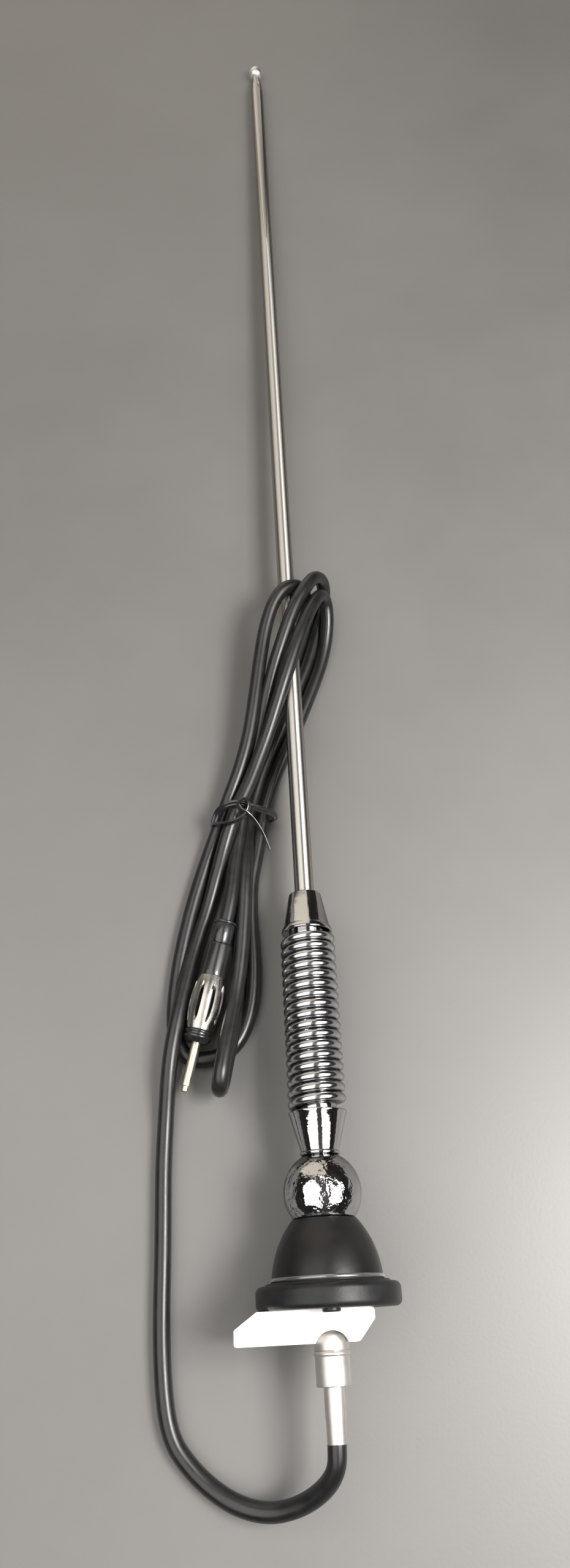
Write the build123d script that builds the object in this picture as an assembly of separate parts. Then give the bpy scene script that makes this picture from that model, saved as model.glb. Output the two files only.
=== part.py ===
"""Telescopic car antenna, lying on its side with its cable tied in a hank beside the mast.

Millimetres, +Z up. The origin is the centre of the gasket's underside, where the antenna meets
the car's panel. The mast points along +Y and dips a little, because the wide gasket and the thin
tip both lie on the same flat surface. Turned pieces are drawn upright about Z, with z = 0 at the
gasket's underside, and are then laid down.
"""
import math
import os

from build123d import *

os.makedirs("parts", exist_ok=True)

# Gasket and dome
gasket_diameter = 39.3
gasket_thickness = 6.0
gasket_edge_radius = 1.6
gasket_edge_share = 0.8
gasket_recess_depth = 1.4
gasket_lip_height = 0.6
gasket_lip_width = 1.6
lug_radius = 2.4
lug_drop = 0.9
lug_inset = 0.5
dome_foot_diameter = 30.4
dome_top_diameter = 18.6
dome_height = 17.6
dome_bulge = 1.35
dome_wall = 2.2
dome_bead_height = 1.0
dome_bead_overhang = 0.4
dome_web_thickness = 2.4
dome_mouth_depth = 8.2

# Split ball and its pivot screw
ball_radius = 11.0
ball_rise = 7.0
split_gap = 0.2
ball_clearance = 0.25
neck_diameter = 8.0
neck_length = 7.0
stem_collar_diameter = 15.6
stem_diameter = 11.6
stem_length = 5.4
screw_diameter = 4.0
screw_head_diameter = 7.0
screw_head_height = 2.4
screw_slot_width = 1.0
screw_depth = 6.6
washer_thickness = 0.8
head_depth = 5.0

# Stud, foot, nut and cable end below the panel
stud_diameter = 6.0
stud_bore = 2.4
stud_reach = 7.5
bush_flange_diameter = 16.0
bush_flange_height = 2.0
bush_spigot_diameter = 9.6
foot_height = 7.9
foot_depth = 19.0
foot_long_arm = 25.3
foot_short_arm = 10.8
foot_arm_slope = 6.0
foot_arm_rise = 4.0
foot_chamfer_run = 4.4
foot_chamfer_rise = 5.2
foot_step = 1.3
foot_corner_radius = 0.8
foot_floor = 5.0
foot_arch_radius = 4.7
foot_arch_height = 2.9
nut_diameter = 9.2
nut_height = 4.8
nut_shoulder_radius = 2.2
sleeve_diameter = 9.1
sleeve_length = 8.2
sleeve_wall = 0.9
sleeve_bead_diameter = 9.7
sleeve_bead_height = 1.3
crimp_diameter = 5.4
crimp_length = 14.6
crimp_overlap = 1.8
crimp_waist_diameter = 5.1
crimp_waist_length = 5.0
crimp_step_length = 1.2
core_wire_diameter = 1.2
core_wire_reach = 6.0

# Spring and its two ferrules
lower_ferrule_height = 12.0
lower_ferrule_foot_diameter = 10.8
lower_ferrule_top_diameter = 17.0
lower_ferrule_standoff = 9.9
ferrule_bead_height = 1.0
ferrule_bead_overhang = 0.35
spring_diameter = 17.0
spring_wire = 2.75
spring_pitch = 2.95
spring_turns = 17.5
spigot_length = 7.0
upper_ferrule_height = 13.0
upper_ferrule_shoulder_height = 1.8
upper_ferrule_shoulder_diameter = 16.0
upper_ferrule_base_diameter = 14.6
upper_ferrule_top_diameter = 10.0

# Telescopic mast, pushed in
outer_tube_diameter = 6.2
outer_tube_wall = 0.5
outer_tube_length = 463.0
outer_tube_seat = 12.0
mouth_length = 6.0
mouth_wall = 0.35
middle_tube_diameter = 4.5
middle_tube_wall = 0.45
middle_tube_show = 7.4
middle_tube_foot_gap = 6.0
tip_rod_diameter = 2.8
tip_rod_show = 1.0
tip_rod_foot_gap = 6.0
button_diameter = 6.4
button_height = 6.4
button_edge_radius = 2.4
sleeve_grip_length = 12.0
sleeve_slot_width = 0.7
slide_clearance = 0.06
seat_clearance = 0.04

# Cable and plug
cable_diameter = 4.6
cable_straight = 4.6
plug_height = 6.8
plug_tilt_rise = 1.6
plug_collar_diameter = 7.4
plug_collar_length = 7.8
plug_body_diameter = 7.6
plug_body_length = 10.8
plug_barrel_diameter = 10.3
plug_barrel_end_diameter = 8.2
plug_barrel_length = 17.0
plug_barrel_wall = 0.6
plug_slot_count = 8
plug_slot_width = 1.5
plug_slot_length = 12.5
plug_ring_diameter = 8.6
plug_ring_length = 4.0
plug_spigot_length = 4.0
plug_pin_diameter = 3.0
plug_pin_length = 15.0
plug_pin_tip_diameter = 2.2
plug_pin_tip_length = 1.8
plug_core_diameter = 4.6
plug_edge_radius = 0.5
tie_thickness = 0.9
tie_width = 3.0
tie_clearance = 0.35
neck_x = -18.7
neck_y = 152.0
neck_width = 17.6
neck_height = 11.0
neck_length_tied = 5.0
band_turn = 18.0
band_run = 103.0
band_rise_end = 20.0
band_rise_slant = 8.0
band_over = 18.8
strands_inset = 0.7

# Heights along the antenna's own axis
dome_foot_z = gasket_thickness - gasket_recess_depth
dome_top_z = dome_foot_z + dome_height
ball_z = dome_top_z + ball_rise
lower_ferrule_z = ball_z + lower_ferrule_standoff
spring_seat_z = lower_ferrule_z + lower_ferrule_height
spring_top_z = spring_seat_z + spring_turns * spring_pitch + spring_wire
upper_ferrule_top_z = spring_top_z + upper_ferrule_height
tube_foot_z = upper_ferrule_top_z - outer_tube_seat
tube_top_z = tube_foot_z + outer_tube_length
middle_foot_z = tube_foot_z + middle_tube_foot_gap
middle_top_z = tube_top_z + middle_tube_show
tip_foot_z = middle_foot_z + tip_rod_foot_gap
button_foot_z = middle_top_z + tip_rod_show
button_top_z = button_foot_z + button_height
web_top_z = dome_top_z - dome_mouth_depth
web_foot_z = web_top_z - dome_web_thickness
stem_foot_z = web_top_z - stem_length
nut_top_z = -foot_floor
nut_foot_z = nut_top_z - nut_height
sleeve_foot_z = nut_foot_z - sleeve_length
crimp_foot_z = sleeve_foot_z + crimp_overlap - crimp_length

# The gasket's recess for the dome, and its rounded edge, which the flat outside the lip limits
recess_radius = dome_foot_diameter / 2 + dome_bead_overhang + seat_clearance
gasket_flat = gasket_diameter / 2 - recess_radius - gasket_lip_width
gasket_edge = min(gasket_edge_radius, gasket_flat * gasket_edge_share)

# The lie of the antenna: the surface touches the rounded rims of the gasket and the tip button
gasket_rim = (gasket_thickness - gasket_edge, gasket_diameter / 2 - gasket_edge)
button_rim = (button_foot_z + button_height / 2, button_diameter / 2 - button_edge_radius)
rim_run = button_rim[0] - gasket_rim[0]
rim_drop = gasket_rim[1] - button_rim[1]
dip = math.atan2(rim_drop, rim_run) + math.asin(
    (gasket_edge - button_edge_radius) / math.hypot(rim_run, rim_drop)
)
floor_z = -(gasket_rim[1] * math.cos(dip) + gasket_rim[0] * math.sin(dip) + gasket_edge)
lie = Location((0, 0, 0), (-90 - math.degrees(dip), 0, 0))


def write(name, shape, laid=True):
    """Lay an upright piece down with the antenna, and write it to its own file."""
    shape = lie * shape if laid else shape
    shape.label = name
    export_step(shape, f"parts/{name}.step")


def turned(*outline):
    """A solid of revolution about Z from (radius, height) points."""
    return revolve(Plane.XZ * make_face(Polyline(*outline, close=True)), Axis.Z)


def tube(outer, bore, foot, top):
    """A plain round tube between two heights."""
    return turned((bore / 2, foot), (outer / 2, foot), (outer / 2, top), (bore / 2, top))


def rod(diameter, foot, top):
    """A plain round bar between two heights."""
    return Pos(0, 0, foot) * Cylinder(diameter / 2, top - foot, align=(Align.CENTER, Align.CENTER, Align.MIN))


def half_space(side, size):
    """A large block on one side of the ball's split, -1 for the mast's half and +1 for the base's."""
    return Pos(0, side * (size + split_gap) / 2, 0) * Box(2 * size, size, 4 * size)


# Gasket: a round rubber pad with a recess for the dome's foot, a lip round it and a locating lug
bush_hole = bush_spigot_diameter / 2 + seat_clearance
gasket = turned(
    (bush_hole, 0),
    (gasket_diameter / 2, 0),
    (gasket_diameter / 2, gasket_thickness),
    (recess_radius + gasket_lip_width, gasket_thickness),
    (recess_radius + gasket_lip_width / 2, gasket_thickness + gasket_lip_height),
    (recess_radius, gasket_thickness + gasket_lip_height),
    (recess_radius, dome_foot_z),
    (bush_hole, dome_foot_z),
)
outer_rims = gasket.edges().filter_by(GeomType.CIRCLE).filter_by(
    lambda e: abs(e.radius - gasket_diameter / 2) < 1e-6
)
gasket = fillet(outer_rims, gasket_edge)
lug_y = -(gasket_diameter / 2 - gasket_edge - lug_radius - lug_inset)
lug = Pos(0, lug_y, -lug_drop) * Cylinder(
    lug_radius, lug_drop + gasket_edge, align=(Align.CENTER, Align.CENTER, Align.MIN)
)
gasket = gasket + lug
write("gasket", gasket)

# Dome: a bell-shaped shell on a beaded foot, with a mouth for the ball and a web inside it
foot_radius = dome_foot_diameter / 2
top_radius = dome_top_diameter / 2
bead_top_z = dome_foot_z + dome_bead_height
mid_radius = (foot_radius + top_radius) / 2 + dome_bulge
mid_z = (bead_top_z + dome_top_z) / 2 + dome_bulge / 2
mouth_radius = ball_radius + ball_clearance
mouth_lip = math.sqrt(mouth_radius**2 - ball_rise**2)
stem_hole = stem_diameter / 2 + seat_clearance
cup_radius = stem_collar_diameter / 2 + seat_clearance
cup_top_z = ball_z - math.sqrt(mouth_radius**2 - cup_radius**2)
dome_outside = ThreePointArc((foot_radius, bead_top_z), (mid_radius, mid_z), (top_radius, dome_top_z))
dome_mouth = RadiusArc((mouth_lip, dome_top_z), (cup_radius, cup_top_z), mouth_radius)
dome_inside = Polyline(
    (cup_radius, cup_top_z),
    (cup_radius, web_top_z),
    (stem_hole, web_top_z),
    (stem_hole, web_foot_z),
    (mid_radius - 2 * dome_wall, web_foot_z),
    (foot_radius - dome_wall, bead_top_z),
    (foot_radius - dome_wall, dome_foot_z),
    (foot_radius + dome_bead_overhang, dome_foot_z),
    (foot_radius + dome_bead_overhang, bead_top_z),
    (foot_radius, bead_top_z),
)
dome_rim = Line((top_radius, dome_top_z), (mouth_lip, dome_top_z))
dome = revolve(Plane.XZ * make_face([dome_outside, dome_rim, dome_mouth, dome_inside]), Axis.Z)
write("dome", dome)

# Split ball: two half balls, each with its own full round neck, cut clear of the other half
clear_ball = Sphere(ball_radius + ball_clearance)
mast_side = half_space(-1, 3 * ball_radius)
base_side = half_space(1, 3 * ball_radius)
neck = rod(neck_diameter, 0, ball_radius + neck_length)
ball_mast_half = (Sphere(ball_radius) & mast_side) + (neck & mast_side) + (neck - clear_ball)
stem = rod(stem_collar_diameter, web_top_z - ball_z, 0)
stem = stem + rod(stem_diameter, stem_foot_z - ball_z, web_top_z - ball_z)
ball_base_half = (Sphere(ball_radius) & base_side) + (stem & base_side) + (stem - clear_ball)

# Pivot screw across the ball: it threads into the mast's half and turns in the base's half
screw_lie = Location((0, 0, 0), (-90, 0, 0))
head_foot = head_depth + washer_thickness
shank = rod(screw_diameter, -screw_depth, head_foot)
slot = Pos(0, 0, head_foot + screw_head_height) * Box(
    screw_head_diameter * 2, screw_slot_width, screw_head_height
)
pivot_screw = screw_lie * (shank + rod(screw_head_diameter, head_foot, head_foot + screw_head_height) - slot)
hole_diameter = screw_diameter + 2 * seat_clearance
blind_hole = screw_lie * rod(hole_diameter, -screw_depth - seat_clearance, 0)
through_hole = screw_lie * rod(hole_diameter, 0, ball_radius)
head_pocket = screw_lie * rod(screw_head_diameter + 4 * seat_clearance, head_depth, 2 * ball_radius)
pivot_washer = screw_lie * tube(screw_head_diameter, hole_diameter, head_depth, head_foot)
stud_top_z = stem_foot_z + stud_reach
stud_hole_top = stud_top_z - ball_z + seat_clearance
stud_hole = rod(stud_diameter + 2 * seat_clearance, stem_foot_z - ball_z, stud_hole_top)
at_ball = Pos(0, 0, ball_z)
write("ball_mast_half", at_ball * (ball_mast_half - blind_hole))
write("ball_base_half", at_ball * (ball_base_half - through_hole - head_pocket - stud_hole))
write("pivot_screw", at_ball * pivot_screw)
write("pivot_washer", at_ball * pivot_washer)

# Stud and its insulating bush: the live path from the swivel down through the panel
stud_foot_z = nut_foot_z
write("base_stud", tube(stud_diameter, stud_bore, stud_foot_z, stud_top_z))
stud_clear = stud_diameter / 2 + seat_clearance
insulator_bush = turned(
    (stud_clear, 0),
    (bush_spigot_diameter / 2, 0),
    (bush_spigot_diameter / 2, dome_foot_z),
    (bush_flange_diameter / 2, dome_foot_z),
    (bush_flange_diameter / 2, dome_foot_z + bush_flange_height),
    (stud_clear, dome_foot_z + bush_flange_height),
)
write("insulator_bush", insulator_bush)

# Clamp foot: a moulded block with one long arm, a pocket for the nut and an arch over the stem
foot_outline = Polyline(
    (-foot_long_arm + foot_arm_slope, 0),
    (-foot_long_arm, -foot_arm_rise),
    (-foot_long_arm, -foot_height),
    (foot_short_arm - foot_chamfer_run, -foot_height),
    (foot_short_arm, -foot_height + foot_chamfer_rise),
    (foot_short_arm, 0),
    close=True,
)
foot_face = make_face(foot_outline)
foot_face = fillet(foot_face.vertices(), foot_corner_radius)
clamp_foot = extrude(Plane.XZ * foot_face, foot_depth / 2, both=True)
step_block = Pos(foot_step, 0, 0) * extrude(Plane.XZ * foot_face, -foot_depth / 2 + foot_step)
clamp_foot = clamp_foot + step_block
arch_z = -foot_height - foot_arch_radius + foot_arch_height
arch = Pos(0, 0, arch_z) * Rot(90, 0, 0) * Cylinder(foot_arch_radius, 2 * foot_depth)
nut_pocket = rod(nut_diameter + 2 * ball_clearance, -foot_height, nut_top_z)
clamp_foot = clamp_foot - arch - nut_pocket - rod(stud_diameter + 2 * seat_clearance, -foot_height, 0)
write("clamp_foot", clamp_foot)

# Round-shouldered nut, beaded cable sleeve and crimp tube on the stud's lower end
stem_nut = tube(nut_diameter, stud_diameter + 2 * seat_clearance, nut_foot_z, nut_top_z)
nut_top_rim = stem_nut.edges().filter_by(GeomType.CIRCLE).filter_by(
    lambda e: abs(e.radius - nut_diameter / 2) < 1e-6 and e.center().Z > nut_foot_z + nut_height / 2
)
stem_nut = fillet(nut_top_rim, min(nut_shoulder_radius, 0.9 * (nut_diameter / 2 - stud_clear)))
write("stem_nut", stem_nut)
sleeve_bore = sleeve_diameter / 2 - sleeve_wall
crimp_hole = crimp_diameter / 2 + seat_clearance
cable_sleeve = turned(
    (sleeve_bore, nut_foot_z),
    (sleeve_diameter / 2, nut_foot_z),
    (sleeve_bead_diameter / 2, nut_foot_z - sleeve_bead_height / 3),
    (sleeve_bead_diameter / 2, nut_foot_z - 2 * sleeve_bead_height / 3),
    (sleeve_diameter / 2, nut_foot_z - sleeve_bead_height),
    (sleeve_diameter / 2, sleeve_foot_z),
    (crimp_hole, sleeve_foot_z),
    (crimp_hole, sleeve_foot_z + crimp_overlap),
    (sleeve_bore, sleeve_foot_z + crimp_overlap),
)
write("cable_sleeve", cable_sleeve)
cable_hole = cable_diameter / 2 + seat_clearance
waist_z = crimp_foot_z + crimp_waist_length
crimp_ferrule = turned(
    (cable_hole, crimp_foot_z),
    (crimp_waist_diameter / 2, crimp_foot_z),
    (crimp_waist_diameter / 2, waist_z),
    (crimp_diameter / 2, waist_z + crimp_step_length),
    (crimp_diameter / 2, sleeve_foot_z + crimp_overlap),
    (cable_hole, sleeve_foot_z + crimp_overlap),
)
write("crimp_ferrule", crimp_ferrule)
cable_end_z = waist_z
write("core_wire", rod(core_wire_diameter, cable_end_z, stud_foot_z + core_wire_reach))

# Lower ferrule: a cone that stands on the ball's neck and carries the spring
spring_bore = spring_diameter / 2 - spring_wire
spigot_radius = spring_bore - 3 * seat_clearance
bead_radius = lower_ferrule_foot_diameter / 2 + ferrule_bead_overhang
neck_hole = neck_diameter / 2 + seat_clearance
neck_top_z = ball_z + ball_radius + neck_length
cone_foot_z = lower_ferrule_z + ferrule_bead_height
lower_ferrule = turned(
    (0, lower_ferrule_z),
    (bead_radius, lower_ferrule_z),
    (bead_radius, cone_foot_z),
    (lower_ferrule_foot_diameter / 2, cone_foot_z),
    (lower_ferrule_top_diameter / 2, spring_seat_z),
    (spigot_radius, spring_seat_z),
    (spigot_radius, spring_seat_z + spigot_length),
    (0, spring_seat_z + spigot_length),
)
lower_ferrule = lower_ferrule - rod(2 * neck_hole, lower_ferrule_z, neck_top_z) - at_ball * clear_ball
write("lower_ferrule", lower_ferrule)

# Spring: a closed-wound helix between the two ferrules
coil_radius = (spring_diameter - spring_wire) / 2
coil_path = Helix(spring_pitch, spring_turns * spring_pitch, coil_radius)
coil_section = Plane(origin=coil_path @ 0, z_dir=coil_path % 0) * Circle(spring_wire / 2)
coil = sweep(coil_section, coil_path, is_frenet=True)
write("mast_spring", Pos(0, 0, spring_seat_z + spring_wire / 2) * coil)

# Upper ferrule: a cone with a rounded shoulder, bored for the mast tube
tube_hole = outer_tube_diameter / 2 + seat_clearance
shoulder_z = spring_top_z + upper_ferrule_shoulder_height
upper_ferrule = turned(
    (0, spring_top_z - spigot_length),
    (spigot_radius, spring_top_z - spigot_length),
    (spigot_radius, spring_top_z),
    (upper_ferrule_shoulder_diameter / 2, spring_top_z),
    (upper_ferrule_shoulder_diameter / 2, (spring_top_z + shoulder_z) / 2),
    (upper_ferrule_base_diameter / 2, shoulder_z),
    (upper_ferrule_top_diameter / 2, upper_ferrule_top_z),
    (tube_hole, upper_ferrule_top_z),
    (tube_hole, tube_foot_z),
    (0, tube_foot_z),
)
write("upper_ferrule", upper_ferrule)

# Telescope: each tube's mouth is crimped in, and a split sleeve inside it can't pass the mouth


def crimped_tube(diameter, wall, inner_diameter, foot, top):
    """A mast tube with its upper end drawn in over the section that slides in it."""
    mouth_bore = inner_diameter / 2 + slide_clearance
    return turned(
        (diameter / 2 - wall, foot),
        (diameter / 2, foot),
        (diameter / 2, top - mouth_length),
        (mouth_bore + mouth_wall, top - mouth_length / 4),
        (mouth_bore + mouth_wall, top),
        (mouth_bore, top),
        (mouth_bore, top - mouth_length / 2),
        (diameter / 2 - wall, top - mouth_length),
    )


def split_sleeve(tube_diameter, tube_wall, inner_diameter, foot):
    """A slotted contact sleeve on the foot of a section, sprung against the tube round it."""
    outer = tube_diameter - 2 * tube_wall - 2 * slide_clearance
    ring = tube(outer, inner_diameter + 2 * seat_clearance, foot, foot + sleeve_grip_length)
    gap = Pos(0, outer / 2, foot + sleeve_grip_length) * Box(sleeve_slot_width, outer, sleeve_grip_length)
    return ring - gap


write(
    "outer_tube",
    crimped_tube(outer_tube_diameter, outer_tube_wall, middle_tube_diameter, tube_foot_z, tube_top_z),
)
write(
    "middle_tube",
    crimped_tube(middle_tube_diameter, middle_tube_wall, tip_rod_diameter, middle_foot_z, middle_top_z),
)
write(
    "middle_sleeve",
    split_sleeve(outer_tube_diameter, outer_tube_wall, middle_tube_diameter, middle_foot_z),
)
write("tip_rod", rod(tip_rod_diameter, tip_foot_z, button_foot_z))
write("tip_sleeve", split_sleeve(middle_tube_diameter, middle_tube_wall, tip_rod_diameter, tip_foot_z))
button = rod(button_diameter, button_foot_z, button_top_z)
button = fillet(button.edges().filter_by(GeomType.CIRCLE), min(button_edge_radius, 0.48 * button_height))
write("tip_button", button)

# Cable: its route on the surface, as points (x, y, height of its centre above the surface)
ground = cable_diameter / 2


def route(points):
    """The points of a cable run, in the part's frame."""
    return [Vector(x, y, floor_z + height) for x, y, height in points]


def cable_tube(name, points):
    """A round cable along straight runs joined by arcs as large as the runs allow."""
    radii = []
    for before, corner, after in zip(points, points[1:], points[2:]):
        turn = math.radians((corner - before).get_angle(after - corner))
        shorter = min((corner - before).length, (after - corner).length)
        radii.append(0.45 * shorter / math.tan(turn / 2))
    path = FilletPolyline(*points, radius=radii)
    section = Plane(origin=points[0], z_dir=points[1] - points[0]) * Circle(cable_diameter / 2)
    solid = sweep(section, path)
    full = math.pi * cable_diameter**2 / 4 * path.length
    print(name, "length", round(path.length, 1), "volume share", round(solid.volume / full, 4))
    print("  radii", [round(r, 1) for r in radii])
    write(name, solid, laid=False)


cable_start = lie * Pos(0, 0, cable_end_z)
cable_exit = lie * Pos(0, 0, crimp_foot_z - cable_straight)
lead_points = [
    (-1.4, -43.4, 17.6),
    (-8.5, -49.2, 11.2),
    (-17.5, -50.0, 6.2),
    (-27.5, -46.5, 3.2),
    (-37.2, -38.0, ground),
    (-44.0, -24.0, ground),
    (-47.6, -3.0, ground),
    (-48.4, 20.0, ground),
    (-47.6, 40.0, ground + 0.2),
    (-46.3, 56.0, 3.6),
    (-44.6, 69.0, 7.4),
    (-42.3, 82.0, 7.4),
    (-39.3, 95.0, 4.8),
    (-35.8, 108.0, ground + 0.3),
    (-31.0, 123.0, ground),
    (-25.8, 137.5, ground + 0.2),
    (-21.2, 151.6, ground + 0.4),
]
cable_tube("cable_lead", [cable_start.position, cable_exit.position] + route(lead_points))

# Outer loop: down the hank's left side, round under the lead and the plug, to the other strands
outer_loop_points = [
    (-26.3, 152.4, ground),
    (-28.6, 146.0, ground),
    (-31.6, 137.5, ground),
    (-36.8, 123.0, ground),
    (-41.4, 105.0, ground),
    (-43.9, 91.5, ground),
    (-44.5, 82.0, ground),
    (-42.6, 75.2, ground),
    (-38.4, 72.0, ground),
    (-33.8, 71.2, ground),
    (-30.2, 71.5, ground),
]
cable_tube("cable_outer_loop", route(outer_loop_points))

# Plug strand: over the top of the tied neck and down into the plug's collar
plug_foot = Vector(-25.7, 113.2, floor_z + plug_height + plug_tilt_rise)
plug_tip = Vector(-39.6, 60.4, floor_z + plug_height)
plug_along = (plug_tip - plug_foot).normalized()
tail_points = [
    (-23.4, 152.4, 7.6),
    (-22.9, 146.0, 7.8),
    (-22.8, 138.0, 7.8),
    (-23.4, 129.0, 8.0),
]
tail_end = plug_foot + plug_along * plug_collar_length
cable_tube("cable_tail", route(tail_points) + [plug_foot - plug_along * cable_straight, tail_end])

# Hank: the outer shape of the folded strands, from the lower fold through the tied neck to the
# upper folds, where the strands go over the mast and come back under it
band_plane = Plane(
    origin=(neck_x, neck_y, floor_z),
    x_dir=Vector(0, 1, 0).rotate(Axis.Z, -band_turn),
    z_dir=Vector(1, 0, 0).rotate(Axis.Z, -band_turn),
)
band_inner_run = band_run - cable_diameter
band_top = band_over + cable_diameter
neck_foot = tie_thickness + tie_clearance
band_outline = Polyline(
    (0, neck_foot),
    (neck_length_tied, neck_foot),
    (neck_length_tied + neck_foot, 0),
    (band_run - cable_diameter / 2, 0),
    (band_run, cable_diameter / 2),
    (band_run, band_over),
    (band_run - cable_diameter, band_top),
    (band_rise_end, band_top),
    (neck_length_tied, neck_foot + neck_height),
    (0, neck_foot + neck_height),
    close=True,
)
band_window = Polyline(
    (band_rise_end - band_rise_slant, cable_diameter),
    (band_inner_run, cable_diameter),
    (band_inner_run, band_over - cable_diameter / 2),
    (band_inner_run - cable_diameter / 2, band_over),
    (band_rise_end, band_over),
    (band_rise_end - band_rise_slant, neck_height),
    close=True,
)
band = extrude(band_plane * (make_face(band_outline) - make_face(band_window)), neck_width / 2, both=True)
neck_right = band_plane.from_local_coords((0, 0, neck_width / 2))
neck_middle = band_plane.from_local_coords((0, 0, strands_inset))
strands_right = Spline(
    (neck_right.X, neck_right.Y),
    (-12.4, 125.0),
    (-12.8, 104.0),
    (-15.4, 87.0),
    (-22.0, 70.0),
    (-25.0, 61.5),
)
strands_end = ThreePointArc((-25.0, 61.5), (-28.0, 58.6), (-30.6, 62.0))
strands_left = Spline(
    (-30.6, 62.0),
    (-29.2, 72.0),
    (-26.4, 84.0),
    (-23.2, 98.0),
    (-21.2, 116.0),
    (-19.6, 134.0),
    (neck_middle.X, neck_middle.Y),
)
strands_top = Line((neck_middle.X, neck_middle.Y), (neck_right.X, neck_right.Y))
strands_face = make_face([strands_right, strands_end, strands_left, strands_top])
strands = extrude(Pos(0, 0, floor_z) * strands_face, 2 * cable_diameter)
write("cable_hank", band + strands, laid=False)

# Tie: a ribbon round the hank's neck, twisted on top, with one long tail
tie_hole_width = neck_width + 2 * tie_clearance
tie_hole_height = neck_height + 2 * tie_clearance
tie_ring = RectangleRounded(
    tie_hole_width + 2 * tie_thickness, tie_hole_height + 2 * tie_thickness, 2 * tie_thickness
) - RectangleRounded(tie_hole_width, tie_hole_height, tie_thickness)
tie_plane = Plane(
    origin=band_plane.from_local_coords((neck_length_tied / 2, neck_foot + neck_height / 2, 0)),
    x_dir=band_plane.z_dir,
    z_dir=band_plane.x_dir,
)
tie = extrude(tie_plane * tie_ring, tie_width / 2, both=True)
tie_top = tie_hole_height / 2 + tie_thickness
knot_height = tie_top + tie_thickness
knot = tie_plane * Pos(0, -knot_height, 0) * Rot(0, 90, 0) * Cylinder(tie_width / 2, 2 * tie_width)
ribbon_start = tie_plane.from_local_coords((tie_width / 2, -knot_height, 0))
ribbon_end = Vector(-10.4, 141.0, floor_z + 2 * cable_diameter + 2 * tie_thickness)
ribbon_plane = Plane(origin=ribbon_start, z_dir=ribbon_end - ribbon_start, x_dir=tie_plane.x_dir)
ribbon_length = (ribbon_end - ribbon_start).length
tie_tail = extrude(ribbon_plane * Rectangle(tie_width / 2, tie_thickness), ribbon_length)
write("cable_tie", tie + knot + tie_tail, laid=False)

# Plug: strain collar, body, spring barrel with lens-shaped slots, insulating ring with its stem,
# and a pin with a stepped tip
plug_lie = Plane(origin=plug_foot, z_dir=plug_along, x_dir=(1, 0, 0)).location
body_z = plug_collar_length
barrel_z = body_z + plug_body_length
ring_z = barrel_z + plug_barrel_length
pin_z = ring_z + plug_ring_length
plug_collar = tube(plug_collar_diameter, cable_diameter + 2 * seat_clearance, 0, body_z)
write("plug_collar", plug_lie * fillet(
    plug_collar.edges().filter_by(GeomType.CIRCLE).group_by(SortBy.RADIUS)[-1], plug_edge_radius
), laid=False)
core_radius = plug_core_diameter / 2
barrel_end = plug_barrel_end_diameter / 2
plug_body = turned(
    (0, body_z),
    (plug_body_diameter / 2, body_z),
    (plug_body_diameter / 2, barrel_z),
    (barrel_end - plug_barrel_wall - seat_clearance, barrel_z),
    (barrel_end - plug_barrel_wall - seat_clearance, barrel_z + plug_spigot_length),
    (0, barrel_z + plug_spigot_length),
)
write("plug_body", plug_lie * plug_body, laid=False)
barrel_mid_z = barrel_z + plug_barrel_length / 2
bulge = plug_barrel_diameter / 2
barrel_outside = ThreePointArc((barrel_end, barrel_z), (bulge, barrel_mid_z), (barrel_end, ring_z))
barrel_inside = ThreePointArc(
    (barrel_end - plug_barrel_wall, ring_z),
    (bulge - plug_barrel_wall, barrel_mid_z),
    (barrel_end - plug_barrel_wall, barrel_z),
)
barrel_foot = Line((barrel_end - plug_barrel_wall, barrel_z), (barrel_end, barrel_z))
barrel_top = Line((barrel_end, ring_z), (barrel_end - plug_barrel_wall, ring_z))
barrel_face = make_face([barrel_outside, barrel_top, barrel_inside, barrel_foot])
plug_barrel = revolve(Plane.XZ * barrel_face, Axis.Z)
slot_end = plug_slot_length / 2
slot_side = plug_slot_width / 2
slot_face = make_face([
    ThreePointArc((0, -slot_end), (slot_side, 0), (0, slot_end)),
    ThreePointArc((0, slot_end), (-slot_side, 0), (0, -slot_end)),
])
slot = Pos(bulge / 2, 0, barrel_mid_z) * extrude(Plane.YZ * slot_face, bulge)
plug_barrel = plug_barrel - PolarLocations(0, plug_slot_count) * slot
write("plug_barrel", plug_lie * plug_barrel, laid=False)
core_foot = barrel_z + plug_spigot_length
pin_hole = plug_pin_diameter / 2 + seat_clearance
plug_ring = turned(
    (0, core_foot),
    (core_radius, core_foot),
    (core_radius, ring_z),
    (plug_ring_diameter / 2, ring_z),
    (plug_ring_diameter / 2, pin_z - plug_edge_radius),
    (plug_ring_diameter / 2 - plug_edge_radius, pin_z),
    (pin_hole, pin_z),
    (pin_hole, ring_z),
    (0, ring_z),
)
write("plug_ring", plug_lie * plug_ring, laid=False)
pin_end_z = pin_z + plug_pin_length
tip_step_z = pin_end_z - plug_pin_tip_length
plug_pin = turned(
    (0, ring_z),
    (plug_pin_diameter / 2, ring_z),
    (plug_pin_diameter / 2, tip_step_z),
    (plug_pin_tip_diameter / 2, tip_step_z),
    (plug_pin_tip_diameter / 2, pin_end_z - plug_edge_radius),
    (plug_pin_tip_diameter / 2 - plug_edge_radius, pin_end_z),
    (0, pin_end_z),
)
write("plug_pin", plug_lie * plug_pin, laid=False)
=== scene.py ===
"""Telescopic car antenna lying on a pale table, with its cable tied in a hank beside the mast."""
import math

import bpy
from mathutils import Matrix, Vector


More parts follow.
